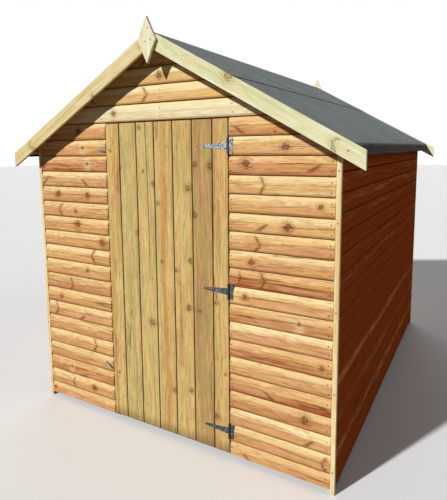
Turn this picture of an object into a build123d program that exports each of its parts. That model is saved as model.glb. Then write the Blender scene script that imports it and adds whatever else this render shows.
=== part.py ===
# Wooden garden shed with a pitched felt roof, loglap boarding and one boarded door.
# Millimetres. X runs along the front, Y from the front to the back, Z up.
# The origin lies on the ground under the middle of the shed.

import math
import os

from build123d import *

# Overall plan, over the boarding
shed_width = 1830.0
shed_depth = 2440.0

# Boarding
boarding_bottom = 25.0
course_cover = 89.3
side_course_shift = 17.0
boarding_thickness = 19.0
lap_foot = 15.0
lap_foot_bulge = 18.0
lap_head = 9.0
lap_head_bulge = 16.0
crest_low = 0.16
crest_high = 0.56
head_curve_place = 0.55

# Frames of the walls
frame_width = 38.0
frame_depth = 38.0
eaves_height = 1589.0
rail_heights = (620.0, 1180.0)
side_stud_count = 5
back_stud_count = 4
corner_strip_width = 21.0

# Floor
floor_bearer_height = 45.0
floor_bearer_width = 38.0
floor_bearer_count = 5
floor_bearer_inset = 60.0
floor_board_thickness = 15.0

# Doorway and door
doorway_head = 1704.0
doorway_width = 762.0
doorway_centre = 7.0
doorway_stop = 12.0
door_side_gap = 5.5
door_head_gap = 5.0
door_bottom = 29.0
door_board_thickness = 14.0
door_board_cover = 115.0
door_board_shift = 5.0
door_board_joints = 6
door_groove_width = 4.0
door_groove_depth = 3.0
ledge_height = 70.0
ledge_depth = 20.0
ledge_end_gap = 8.0
brace_width = 68.0

# Tee hinges, one height for each
hinge_heights = (148.0, 870.0, 1570.0)
hinge_leaf = 2.0
hinge_knuckle_radius = 4.5
hinge_face_gap = 0.5
hinge_pin_radius = 2.5
hinge_pin_clearance = 0.08
hinge_strap_length = 142.0
hinge_strap_root = 34.0
hinge_strap_tip = 6.0
hinge_plate_height = 76.0
hinge_plate_width = 24.0
hinge_knuckle_gap = 0.5
hinge_hole_radius = 2.0
hinge_hole_places = (28.0, 62.0, 96.0, 132.0)
hinge_plate_hole_inset = 10.0
hinge_plate_hole_share = 0.6

# Turn buttons at the free side of the door
upper_button_height = 1554.0
upper_button_tilt = 17.0
lower_button_height = 311.0
lower_button_tilt = 36.0
button_screw_gap = 19.0
button_long_arm = 38.0
button_short_arm = 12.0
button_width = 11.0
button_thickness = 3.0
button_door_gap = 5.0
button_play = 0.3
screw_shank_radius = 2.2
screw_boss_radius = 5.0
screw_head_radius = 4.4
screw_head_height = 2.6

# Roof
roof_pitch = 29.45
roof_board_thickness = 12.0
roof_overhang_end = 66.0
roof_overhang_eaves = 54.0
felt_thickness = 3.0
felt_fold = 52.0
felt_cap_reach = 500.0
eaves_batten_width = 20.0
eaves_batten_depth = 24.0
purlin_width = 38.0
purlin_depth = 38.0
middle_purlin_place = 450.0
ridge_purlin_place = 24.0

# Bargeboards and finials
bargeboard_depth = 70.0
bargeboard_thickness = 16.0
bargeboard_rise = 4.0
bargeboard_past_felt = 57.0
finial_height = 220.0
finial_width = 104.0
finial_thickness = 16.0
finial_drop = 49.0

# Places that follow from the sizes above
half_width = shed_width / 2
half_depth = shed_depth / 2
slope = math.tan(math.radians(roof_pitch))
slope_cos = math.cos(math.radians(roof_pitch))
frame_face = half_depth - boarding_thickness
frame_back = frame_face - frame_depth
side_face = half_width - boarding_thickness
side_back = side_face - frame_depth
strip_inner = half_width - corner_strip_width
floor_top = floor_bearer_height + floor_board_thickness
doorway_left = doorway_centre - doorway_width / 2
doorway_right = doorway_centre + doorway_width / 2
stop_left = doorway_left + doorway_stop
stop_right = doorway_right - doorway_stop
header_bottom = doorway_head - doorway_stop
ridge_under = eaves_height + half_width * slope
rafter_rise = frame_width / slope_cos
roof_board_top = ridge_under + roof_board_thickness / slope_cos
felt_top = roof_board_top + felt_thickness / slope_cos
roof_half = half_width + roof_overhang_eaves
roof_end = half_depth + roof_overhang_end
bargeboard_top = felt_top + bargeboard_rise
felt_reach = roof_half + felt_thickness
bargeboard_reach = felt_reach + bargeboard_past_felt
bargeboard_face = roof_end + bargeboard_thickness
door_left = doorway_left + door_side_gap
door_right = doorway_right - door_side_gap
door_top = doorway_head - door_head_gap
door_face = -half_depth
door_back = door_face + door_board_thickness
ledge_left = stop_left + ledge_end_gap
ledge_right = stop_right - ledge_end_gap
hinge_x = doorway_right - door_side_gap / 2
hinge_y = door_face - hinge_knuckle_radius - hinge_face_gap
button_x = doorway_left - button_screw_gap
button_back = door_face - button_door_gap - button_play

os.makedirs("parts", exist_ok=True)


def save(builder, name):
    """Label a finished piece and write it under the same name."""
    builder.part.label = name
    export_step(builder.part, f"parts/{name}.step")


def roof_under(x):
    """Height of the underside of the roof boards at a distance x from the ridge line."""
    return ridge_under - abs(x) * slope


def spread(low, high, count):
    """Evenly spaced places from low to high, both included."""
    return [low + (high - low) * k / (count - 1) for k in range(count)]


def bar(x, y, z):
    """Add a straight timber that fills the three ranges."""
    centre = [(low + high) / 2 for low, high in (x, y, z)]
    with Locations(tuple(centre)):
        Box(x[1] - x[0], y[1] - y[0], z[1] - z[0])


def prism(points, y, mode=Mode.ADD):
    """Add an outline drawn in X and Z, carried from y[0] to y[1]."""
    with BuildSketch(Plane.XZ.offset(-y[1])) as section:
        with BuildLine():
            Polyline(*points, close=True)
        make_face()
    extrude(section.sketch, amount=y[1] - y[0], mode=mode)


def under_roof(x, bottom, drop=0.0):
    """Outline from a level bottom up to the underside of one roof slope, or a drop below it."""
    return [(x[0], bottom), (x[1], bottom), (x[1], roof_under(x[1]) - drop), (x[0], roof_under(x[0]) - drop)]


def slope_band(x, top, bottom):
    """Outline of a band that follows the roof slope, its faces at two heights on the ridge line."""
    low_edge = [(place, bottom - abs(place) * slope) for place in x]
    high_edge = [(place, top - abs(place) * slope) for place in x]
    return low_edge + high_edge[::-1]


def boarding(plane, length, joint, low, high):
    """Rounded boards between two heights, with u outwards and v up on the plane."""
    first = math.floor((low - joint) / course_cover)
    last = math.ceil((high - joint) / course_cover)
    with BuildPart() as boards:
        with BuildSketch(plane) as section:
            with BuildLine():
                foot = joint + first * course_cover
                Line((0, foot), (lap_foot, foot))
                for course in range(first, last):
                    foot = joint + course * course_cover
                    head = foot + course_cover
                    crest_start = foot + crest_low * course_cover
                    crest_end = foot + crest_high * course_cover
                    foot_middle = (foot + crest_start) / 2
                    head_middle = crest_end + (head - crest_end) * head_curve_place
                    crest = boarding_thickness
                    ThreePointArc((lap_foot, foot), (lap_foot_bulge, foot_middle), (crest, crest_start))
                    Line((crest, crest_start), (crest, crest_end))
                    ThreePointArc((crest, crest_end), (lap_head_bulge, head_middle), (lap_head, head))
                    if course < last - 1:
                        Line((lap_head, head), (lap_foot, head))
                Line((lap_head, head), (0, head))
                Line((0, head), (0, joint + first * course_cover))
            make_face()
            with BuildLine():
                Polyline((0, low), (boarding_thickness, low), (boarding_thickness, high), (0, high), close=True)
            make_face(mode=Mode.INTERSECT)
        extrude(amount=length)
    return boards.part


def end_boarding(x, low, high, facing):
    """Boards of the front wall, facing -1, or the back wall, facing 1."""
    start = x[1] if facing < 0 else x[0]
    plane = Plane(origin=(start, facing * frame_face, 0), x_dir=(0, facing, 0), z_dir=(facing, 0, 0))
    return boarding(plane, x[1] - x[0], doorway_head, low, high)


def side_boarding(facing):
    """Boards of the left wall, facing -1, or the right wall, facing 1, under the roof slope."""
    plane = Plane(origin=(facing * side_face, facing * frame_face, 0), x_dir=(facing, 0, 0), z_dir=(0, -facing, 0))
    high = roof_under(side_face)
    return boarding(plane, 2 * frame_face, doorway_head + side_course_shift, boarding_bottom, high)


# Floor
with BuildPart() as floor_bearers:
    bearer_reach = side_face - floor_bearer_inset
    for place in spread(-bearer_reach, bearer_reach, floor_bearer_count):
        half = floor_bearer_width / 2
        bar((place - half, place + half), (-frame_back, frame_back), (0, floor_bearer_height))
save(floor_bearers, "floor_bearers")

with BuildPart() as floor_boards:
    bar((-side_face, side_face), (-frame_face, frame_face), (floor_bearer_height, floor_top))
save(floor_boards, "floor_boards")

# Front wall: boards beside and over the doorway
front_range = (-half_depth, -frame_face)

with BuildPart() as front_cladding_left:
    add(end_boarding((-strip_inner, doorway_left), boarding_bottom, doorway_head, -1))
    prism(under_roof((-strip_inner, doorway_left), 0), front_range, Mode.INTERSECT)
save(front_cladding_left, "front_cladding_left")

with BuildPart() as front_cladding_right:
    add(end_boarding((doorway_right, strip_inner), boarding_bottom, doorway_head, -1))
    prism(under_roof((doorway_right, strip_inner), 0), front_range, Mode.INTERSECT)
save(front_cladding_right, "front_cladding_right")

with BuildPart() as front_cladding_gable:
    gable_reach = (ridge_under - doorway_head) / slope
    add(end_boarding((-gable_reach, gable_reach), doorway_head, ridge_under, -1))
    gable = [(-gable_reach, doorway_head), (gable_reach, doorway_head), (0, ridge_under)]
    prism(gable, front_range, Mode.INTERSECT)
save(front_cladding_gable, "front_cladding_gable")

# Front wall: frame
front_frame = (-frame_face, -frame_back)

with BuildPart() as front_wall_studs:
    prism(under_roof((-side_face, -side_back), floor_top, rafter_rise), front_frame)
    prism(under_roof((side_back, side_face), floor_top, rafter_rise), front_frame)
    bar((stop_left - frame_width, stop_left), front_frame, (floor_top, header_bottom))
    bar((stop_right, stop_right + frame_width), front_frame, (floor_top, header_bottom))
save(front_wall_studs, "front_wall_studs")

with BuildPart() as front_wall_rails:
    for height in (floor_top,) + rail_heights:
        bar((-side_back, stop_left - frame_width), front_frame, (height, height + frame_width))
        bar((stop_right + frame_width, side_back), front_frame, (height, height + frame_width))
save(front_wall_rails, "front_wall_rails")

with BuildPart() as front_gable_frame:
    header_top = header_bottom + frame_width
    header_left = stop_left - frame_width
    header_right = stop_right + frame_width
    bar((header_left, header_right), front_frame, (header_bottom, header_top))
    for low, high in ((-side_face, 0), (0, side_face)):
        prism(slope_band((low, high), ridge_under, ridge_under - rafter_rise), front_frame)
    prism(under_roof((header_left, stop_left), header_bottom), front_frame)
    prism(under_roof((stop_right, header_right), header_bottom), front_frame)
    king_post = [(-frame_width / 2, header_bottom), (frame_width / 2, header_bottom)]
    king_post += [(frame_width / 2, roof_under(frame_width / 2)), (0, ridge_under)]
    king_post += [(-frame_width / 2, roof_under(frame_width / 2))]
    prism(king_post, front_frame)
save(front_gable_frame, "front_gable_frame")

# Back wall
with BuildPart() as back_cladding:
    add(end_boarding((-strip_inner, strip_inner), boarding_bottom, ridge_under, 1))
    back_outline = [(-strip_inner, 0), (strip_inner, 0), (strip_inner, roof_under(strip_inner))]
    back_outline += [(0, ridge_under), (-strip_inner, roof_under(strip_inner))]
    prism(back_outline, (frame_face, half_depth), Mode.INTERSECT)
save(back_cladding, "back_cladding")

back_frame = (frame_back, frame_face)
back_stud_edges = spread(-side_face, side_back, back_stud_count)

with BuildPart() as back_wall_studs:
    for edge in back_stud_edges:
        prism(under_roof((edge, edge + frame_width), floor_top, rafter_rise), back_frame)
save(back_wall_studs, "back_wall_studs")

with BuildPart() as back_wall_rails:
    for height in (floor_top,) + rail_heights:
        for edge, following in zip(back_stud_edges, back_stud_edges[1:]):
            bar((edge + frame_width, following), back_frame, (height, height + frame_width))
save(back_wall_rails, "back_wall_rails")

with BuildPart() as back_gable_frame:
    for low, high in ((-side_face, 0), (0, side_face)):
        prism(slope_band((low, high), ridge_under, ridge_under - rafter_rise), back_frame)
save(back_gable_frame, "back_gable_frame")

# Side walls, the left one facing -1 and the right one facing 1
plate_bottom = roof_under(side_face) - rafter_rise

for side, facing in (("left", -1), ("right", 1)):
    outer = sorted((facing * side_face, facing * half_width))
    frame_range = sorted((facing * side_face, facing * side_back))

    with BuildPart() as side_cladding:
        add(side_boarding(facing))
        prism(under_roof(outer, 0), (-frame_face, frame_face), Mode.INTERSECT)
    save(side_cladding, side + "_cladding")

    stud_edges = spread(-frame_back, frame_back - frame_width, side_stud_count)
    with BuildPart() as side_studs:
        for edge in stud_edges:
            bar(frame_range, (edge, edge + frame_width), (floor_top + frame_width, plate_bottom))
    save(side_studs, side + "_wall_studs")

    with BuildPart() as side_rails:
        bar(frame_range, (-frame_back, frame_back), (floor_top, floor_top + frame_width))
        prism(under_roof(frame_range, plate_bottom), (-frame_back, frame_back))
        for height in rail_heights:
            for edge, following in zip(stud_edges, stud_edges[1:]):
                bar(frame_range, (edge + frame_width, following), (height, height + frame_width))
    save(side_rails, side + "_wall_rails")

# Corner strips, over the ends of the side boards
for end, end_facing in (("front", -1), ("back", 1)):
    for side, facing in (("left", -1), ("right", 1)):
        across = sorted((facing * strip_inner, facing * half_width))
        along = sorted((end_facing * frame_face, end_facing * half_depth))
        with BuildPart() as corner_strip:
            prism(under_roof(across, 0), along)
        save(corner_strip, f"corner_strip_{end}_{side}")

# Roof: boards, eaves battens and purlins
for side, facing in (("left", -1), ("right", 1)):
    with BuildPart() as roof_boards:
        prism(slope_band(sorted((0, facing * roof_half)), roof_board_top, ridge_under), (-roof_end, roof_end))
    save(roof_boards, "roof_boards_" + side)

    with BuildPart() as eaves_batten:
        across = sorted((facing * (roof_half - eaves_batten_width), facing * roof_half))
        prism(slope_band(across, ridge_under, ridge_under - eaves_batten_depth), (-roof_end, roof_end))
    save(eaves_batten, "eaves_batten_" + side)

    with BuildPart() as roof_purlins:
        for place in (middle_purlin_place, ridge_purlin_place):
            across = sorted((facing * (place - purlin_width / 2), facing * (place + purlin_width / 2)))
            prism(slope_band(across, ridge_under, ridge_under - purlin_depth), (-frame_back, frame_back))
    save(roof_purlins, "roof_purlins_" + side)

    with BuildPart() as felt:
        edge = felt_reach
        fold_bottom = felt_top - edge * slope - felt_fold
        outline = [(0, roof_board_top), (0, felt_top), (edge, felt_top - edge * slope), (edge, fold_bottom)]
        outline += [(roof_half, fold_bottom), (roof_half, roof_board_top - roof_half * slope)]
        prism([(facing * x, z) for x, z in outline], (-roof_end, roof_end))
    save(felt, "felt_" + side)

with BuildPart() as felt_cap:
    reach = felt_cap_reach * slope_cos
    cap_top = felt_top + felt_thickness / slope_cos
    lower_line = [(reach, felt_top - reach * slope), (0, felt_top), (-reach, felt_top - reach * slope)]
    upper_line = [(-reach, cap_top - reach * slope), (0, cap_top), (reach, cap_top - reach * slope)]
    prism(lower_line + upper_line, (-roof_end, roof_end))
save(felt_cap, "felt_ridge_cap")

# Bargeboards and finials at both ends
for end, facing in (("front", -1), ("back", 1)):
    board_range = sorted((facing * roof_end, facing * bargeboard_face))
    for side, toward in (("left", -1), ("right", 1)):
        with BuildPart() as bargeboard:
            across = sorted((0, toward * bargeboard_reach))
            prism(slope_band(across, bargeboard_top, bargeboard_top - bargeboard_depth / slope_cos), board_range)
        save(bargeboard, f"bargeboard_{end}_{side}")

    with BuildPart() as finial:
        middle = bargeboard_top - finial_drop
        diamond = [(0, middle + finial_height / 2), (finial_width / 2, middle)]
        diamond += [(0, middle - finial_height / 2), (-finial_width / 2, middle)]
        prism(diamond, sorted((facing * bargeboard_face, facing * (bargeboard_face + finial_thickness))))
    save(finial, "finial_" + end)

# Door: tongued boards with a V at each joint, ledges and braces behind
board_joints = [
    doorway_centre + door_board_shift + (k - (door_board_joints - 1) / 2) * door_board_cover
    for k in range(door_board_joints)
]

with BuildPart() as door_boards:
    with BuildSketch(Plane.XY.offset(door_bottom)) as door_section:
        with BuildLine():
            front_edge = [(door_left, door_face)]
            back_edge = [(door_left, door_back)]
            for joint in board_joints:
                for shift, depth in ((-0.5, 0), (0, door_groove_depth), (0.5, 0)):
                    place = joint + shift * door_groove_width
                    front_edge.append((place, door_face + depth))
                    back_edge.append((place, door_back - depth))
            front_edge.append((door_right, door_face))
            back_edge.append((door_right, door_back))
            Polyline(*(front_edge + back_edge[::-1]), close=True)
        make_face()
    extrude(amount=door_top - door_bottom)
save(door_boards, "door_boards")

with BuildPart() as door_ledges:
    for height in hinge_heights:
        span = (height - ledge_height / 2, height + ledge_height / 2)
        bar((ledge_left, ledge_right), (door_back, door_back + ledge_depth), span)
save(door_ledges, "door_ledges")

with BuildPart() as door_braces:
    for lower, upper in zip(hinge_heights, hinge_heights[1:]):
        low = lower + ledge_height / 2
        high = upper - ledge_height / 2
        brace = [(ledge_right - brace_width, low), (ledge_right, low)]
        brace += [(ledge_left + brace_width, high), (ledge_left, high)]
        prism(brace, (door_back, door_back + ledge_depth))
save(door_braces, "door_braces")

# Tee hinges: the strap's knuckle turns on a pin between the two knuckles of the plate
strap_half = hinge_strap_root / 2
plate_half = hinge_plate_height / 2
knuckle_end = strap_half + hinge_knuckle_gap
leaf_range = (door_face - hinge_leaf, door_face)

with BuildPart() as hinge_straps:
    for height in hinge_heights:
        with BuildSketch(Plane.XZ.offset(-door_face)) as strap_outline:
            tip = hinge_x - hinge_strap_length + hinge_strap_tip
            with BuildLine():
                taper = [(hinge_x, height - strap_half), (hinge_x, height + strap_half)]
                taper += [(tip, height + hinge_strap_tip), (tip, height - hinge_strap_tip)]
                Polyline(*taper, close=True)
            make_face()
            with Locations((tip, height)):
                Circle(hinge_strap_tip)
            with Locations(*[(hinge_x - place, height) for place in hinge_hole_places]):
                Circle(hinge_hole_radius, mode=Mode.SUBTRACT)
        extrude(amount=hinge_leaf)
        with BuildSketch(Plane.XY.offset(height - strap_half)) as knuckle:
            with Locations((hinge_x, hinge_y)):
                Circle(hinge_knuckle_radius)
        extrude(amount=hinge_strap_root)
        with BuildSketch(Plane.XY.offset(height - strap_half)) as pin_bore:
            with Locations((hinge_x, hinge_y)):
                Circle(hinge_pin_radius + hinge_pin_clearance)
        extrude(amount=hinge_strap_root, mode=Mode.SUBTRACT)
save(hinge_straps, "hinge_straps")

with BuildPart() as hinge_plates:
    for height in hinge_heights:
        bar((hinge_x, hinge_x + hinge_plate_width), leaf_range, (height - plate_half, height + plate_half))
        for low in (height - plate_half, height + knuckle_end):
            with BuildSketch(Plane.XY.offset(low)) as plate_knuckle:
                with Locations((hinge_x, hinge_y)):
                    Circle(hinge_knuckle_radius)
            extrude(amount=plate_half - knuckle_end)
        with BuildSketch(Plane.XY.offset(height - knuckle_end)) as strap_room:
            with Locations((hinge_x, hinge_y)):
                Circle(hinge_knuckle_radius + hinge_knuckle_gap)
        extrude(amount=2 * knuckle_end, mode=Mode.SUBTRACT)
        with BuildSketch(Plane.XY.offset(height - plate_half)) as pin:
            with Locations((hinge_x, hinge_y)):
                Circle(hinge_pin_radius)
        extrude(amount=hinge_plate_height)
        hole_x = hinge_x + hinge_plate_width * hinge_plate_hole_share
        hole_reach = plate_half - hinge_plate_hole_inset
        with BuildSketch(Plane.XZ.offset(-door_face)) as plate_holes:
            with Locations((hole_x, height - hole_reach), (hole_x, height + hole_reach)):
                Circle(hinge_hole_radius)
        extrude(amount=hinge_leaf, mode=Mode.SUBTRACT)
save(hinge_plates, "hinge_plates")

# Turn buttons: the long arm points away from the door at rest and covers its edge when turned
for name, height, tilt in (
    ("turn_button_upper", upper_button_height, upper_button_tilt),
    ("turn_button_lower", lower_button_height, lower_button_tilt),
):
    with BuildPart() as turn_button:
        angle = math.radians(tilt)
        long_way = (-math.cos(angle), 0, math.sin(angle))
        face = Plane(origin=(button_x, button_back, height), x_dir=long_way, z_dir=(0, -1, 0))
        with BuildSketch(face) as outline:
            end_radius = button_width / 2
            long_centre = button_long_arm - end_radius
            short_centre = button_short_arm - end_radius
            with Locations(((long_centre - short_centre) / 2, 0)):
                SlotCenterToCenter(long_centre + short_centre, button_width)
            Circle(screw_shank_radius + button_play, mode=Mode.SUBTRACT)
        extrude(amount=button_thickness)
    save(turn_button, name)

with BuildPart() as turn_button_screws:
    boss_length = button_door_gap
    grip = button_thickness + 2 * button_play
    for height in (upper_button_height, lower_button_height):
        base = Plane(origin=(button_x, door_face, height), x_dir=(1, 0, 0), z_dir=(0, -1, 0))
        for start, length, radius in (
            (0, boss_length, screw_boss_radius),
            (boss_length, grip, screw_shank_radius),
            (boss_length + grip, screw_head_height, screw_head_radius),
        ):
            with BuildSketch(base.offset(start)) as ring:
                Circle(radius)
            extrude(amount=length)
save(turn_button_screws, "turn_button_screws")
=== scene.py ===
# Dresses the wooden garden shed: boards, nails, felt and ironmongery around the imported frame.
# Metres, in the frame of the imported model: X along the front, Y from the front to the back, Z up.

import math
import random

import bpy
from mathutils import Matrix, Vector


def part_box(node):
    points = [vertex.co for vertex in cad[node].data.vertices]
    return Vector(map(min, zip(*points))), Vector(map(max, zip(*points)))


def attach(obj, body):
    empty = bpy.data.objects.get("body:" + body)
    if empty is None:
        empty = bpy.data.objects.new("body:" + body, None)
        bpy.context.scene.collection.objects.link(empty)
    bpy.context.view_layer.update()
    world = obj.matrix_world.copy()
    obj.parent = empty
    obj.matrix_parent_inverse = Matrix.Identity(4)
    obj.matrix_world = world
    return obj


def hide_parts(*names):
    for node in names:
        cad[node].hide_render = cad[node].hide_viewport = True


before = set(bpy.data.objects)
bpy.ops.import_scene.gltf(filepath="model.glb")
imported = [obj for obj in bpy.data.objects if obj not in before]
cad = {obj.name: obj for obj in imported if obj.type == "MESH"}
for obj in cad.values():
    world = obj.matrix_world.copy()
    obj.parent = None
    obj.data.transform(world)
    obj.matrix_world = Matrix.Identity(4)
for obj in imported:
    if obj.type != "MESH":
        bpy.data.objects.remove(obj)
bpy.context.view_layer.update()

# Places read from the frame
left_panel_low, left_panel_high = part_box("front_cladding_left")
right_panel_low, right_panel_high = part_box("front_cladding_right")
back_low, back_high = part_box("back_cladding")
side_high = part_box("right_cladding")[1]
door_low, door_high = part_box("door_boards")
felt_low, felt_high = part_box("felt_right")
cap_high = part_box("felt_ridge_cap")[1]
strap_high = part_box("hinge_straps")[1]
finial_low, finial_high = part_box("finial_front")

# Building sizes
roof_pitch = math.radians(29.45)
slope = math.tan(roof_pitch)
course_cover = 0.0893
boarding_thickness = 0.019
door_cover = 0.115
door_joint_place = 0.012
half_width = side_high.x
door_head = left_panel_high.z
ridge_under = back_high.z
board_bottom = back_low.z
strip_inner = back_high.x
side_reach = side_high.y
side_course_shift = 0.017
side_joint = door_head + side_course_shift
hinge_heights = (0.148, 0.870, 1.570)
hinge_pin_x = 0.38525
hem_corner = felt_high.z - felt_high.x * slope
out_of_the_way = 99.0


# Node helpers

def add_node(tree, kind, feeds=None, **settings):
    """Add a node, set its options and feed its inputs from sockets or values."""
    made = tree.nodes.new(kind)
    for option, value in settings.items():
        setattr(made, option, value)
    for key, value in (feeds or {}).items():
        if isinstance(value, bpy.types.NodeSocket):
            tree.links.new(value, made.inputs[key])
        else:
            made.inputs[key].default_value = value
    return made


def calc(tree, operation, *values, clamp=False):
    """Output of a math node on sockets or numbers."""
    made = add_node(tree, "ShaderNodeMath", dict(enumerate(values)), operation=operation, use_clamp=clamp)
    return made.outputs[0]


def total(tree, *values):
    """Sum of several sockets or numbers."""
    result = values[0]
    for value in values[1:]:
        result = calc(tree, "ADD", result, value)
    return result


def product(tree, *values):
    """Product of several sockets or numbers."""
    result = values[0]
    for value in values[1:]:
        result = calc(tree, "MULTIPLY", result, value)
    return result


def fade(tree, value, start, end, low=0.0, high=1.0):
    """Smooth step that goes from low to high while the value goes from start to end."""
    feeds = {"Value": value, "From Min": start, "From Max": end, "To Min": low, "To Max": high}
    return add_node(tree, "ShaderNodeMapRange", feeds, interpolation_type="SMOOTHSTEP").outputs["Result"]


def vector(tree, x=0.0, y=0.0, z=0.0):
    """Vector joined from three sockets or numbers."""
    return add_node(tree, "ShaderNodeCombineXYZ", {"X": x, "Y": y, "Z": z}).outputs["Vector"]


def tint(tree, amount, first, second, mode="MIX"):
    """Colour mixed from two by an amount."""
    feeds = {0: amount, 6: first, 7: second}
    made = add_node(tree, "ShaderNodeMix", feeds, data_type="RGBA", blend_type=mode)
    return made.outputs[2]


def layered(tree, colour, layers):
    """Colour under layers, each a shade and the factors of how much of it shows."""
    for shade, *factors in layers:
        colour = tint(tree, product(tree, *factors), colour, shade)
    return colour


def split(tree, place):
    """X, Y and Z of a vector."""
    return add_node(tree, "ShaderNodeSeparateXYZ", {"Vector": place}).outputs


def scaled(tree, *axes):
    """Vector whose axes are each a product, given as its factors."""
    return vector(tree, *(product(tree, *factors) for factors in axes))


def around(tree, value, middle=0.5):
    """A value less its middle, so that it swings either way."""
    return total(tree, value, -middle)


def gap(tree, value, level):
    """How far a value is from a level, either way."""
    return calc(tree, "ABSOLUTE", total(tree, value, -level))


def vector_calc(tree, operation, first, second):
    """Vector from two others."""
    made = add_node(tree, "ShaderNodeVectorMath", {0: first, 1: second}, operation=operation)
    return made.outputs["Vector"]


def noise(tree, place, detail=2.0, roughness=0.5, distortion=0.0, scale=1.0, colour=False):
    """Noise at a place, scale times as fine as the place is given."""
    feeds = {
        "Vector": place, "Scale": scale, "Detail": detail,
        "Roughness": roughness, "Distortion": distortion,
    }
    made = add_node(tree, "ShaderNodeTexNoise", feeds)
    return made.outputs["Color" if colour else "Fac"]


def drawn(tree, cells):
    """Three numbers drawn for each cell of a Voronoi texture."""
    channels = add_node(tree, "ShaderNodeSeparateColor", {"Color": cells.outputs["Color"]}).outputs
    return channels["Red"], channels["Green"], channels["Blue"]


def object_place(tree):
    """Place on the piece, in the frame that all pieces share."""
    return add_node(tree, "ShaderNodeTexCoord").outputs["Object"]


def seen_rays(tree):
    """One on rays that show the background, seen straight, in gloss or through glass."""
    path = add_node(tree, "ShaderNodeLightPath").outputs
    seen = calc(tree, "MAXIMUM", path["Is Camera Ray"], path["Is Glossy Ray"])
    return calc(tree, "MAXIMUM", seen, path["Is Transmission Ray"])


def new_object(name, data):
    """Object made from its data and put in the scene."""
    made = bpy.data.objects.new(name, data)
    bpy.context.scene.collection.objects.link(made)
    return made


def srgb(red, green, blue):
    """Colour for a socket from red, green and blue as seen, 0 to 255."""
    linear = []
    for level in (red, green, blue):
        share = level / 255
        linear.append(share / 12.92 if share <= 0.04045 else ((share + 0.055) / 1.055) ** 2.4)
    return (*linear, 1.0)


def new_material(name):
    """Empty material with its shader and output; gives the material, its tree and the shader."""
    material = bpy.data.materials.new(name)
    material.use_nodes = True
    tree = material.node_tree
    tree.nodes.clear()
    shader = tree.nodes.new("ShaderNodeBsdfPrincipled")
    output = tree.nodes.new("ShaderNodeOutputMaterial")
    tree.links.new(shader.outputs["BSDF"], output.inputs["Surface"])
    return material, tree, shader


def finish_shader(tree, shader, colour, roughness, height, depth):
    """Join colour, roughness and bump height to the shader."""
    bump = add_node(tree, "ShaderNodeBump", {"Height": height, "Distance": depth, "Strength": 1.0})
    tree.links.new(colour, shader.inputs["Base Color"])
    tree.links.new(roughness, shader.inputs["Roughness"])
    tree.links.new(bump.outputs["Normal"], shader.inputs["Normal"])


# Woods

# Seams on the right wall are darker and, by shaded_seam_widening, wider: painted shade
shade_wall_seam = (38, 20, 10)
knot_cells_along = 2.6
knot_cells_across = 9.5
quarter_turn = math.pi / 2
pale_tone = 0.2
common_tone = 0.28
# Tones from shaded_tone up belong to the right wall, drawn darker and redder than the rest as painted shade
shaded_tone = 0.95
deepest_tone = 1.0
timber_tone = 0.5
rough_cells = 75.0
patch_cells = 160.0
ring_cells = 780.0
fibre_cells = 620.0
line_cells = 13.0
hair_cells = 38.0
fret_cells = 85.0
wood_relief = 0.0006
grain_drift = 0.06
pith_band = 0.004
pith_line_width = 0.003
pith_line_core = 0.0008
shaded_seam_widening = 2.2
margin_shadow_share = 4.5

# Knots: raggedness in radii, lean as a slope, the rest in metres or as shares
least_knot = 0.45
knot_raggedness = 2.4
arm_raggedness = 0.012
arm_lean = 0.75
arm_end = 0.046
arm_full = 0.026
pale_raggedness = 0.05
pale_patch_end = 0.034
pale_patch_full = 0.01
pale_knot_share = 0.16

# Heights between which the heart bands and splits of the door set in and the dark foot ends
heart_heights = (0.9, 1.5)
split_heights = (0.75, 1.1)
foot_heights = (0.1, 0.028)


def read_attribute(tree, name, output="Fac"):
    """Value that the boards carry under a name."""
    return add_node(tree, "ShaderNodeAttribute", attribute_name=name).outputs[output]


def contour(tree, value, width, level=0.5):
    """One where a noise passes a level, which draws thin lines along the grain."""
    return fade(tree, gap(tree, value, level), width, width * 0.3)


def scatter(tree, along, across):
    """Loose grid of places in cells; gives the nearest place's coordinates and three numbers drawn for it."""
    place = scaled(tree, (along, knot_cells_along), (across, knot_cells_across))
    feeds = {"Vector": place, "Scale": 1.0, "Randomness": 0.85}
    cells = add_node(tree, "ShaderNodeTexVoronoi", feeds, voronoi_dimensions="2D")
    centre = split(tree, cells.outputs["Position"])
    middle_along = calc(tree, "DIVIDE", centre["X"], knot_cells_along)
    middle_across = calc(tree, "DIVIDE", centre["Y"], knot_cells_across)
    return middle_along, middle_across, drawn(tree, cells)


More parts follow.
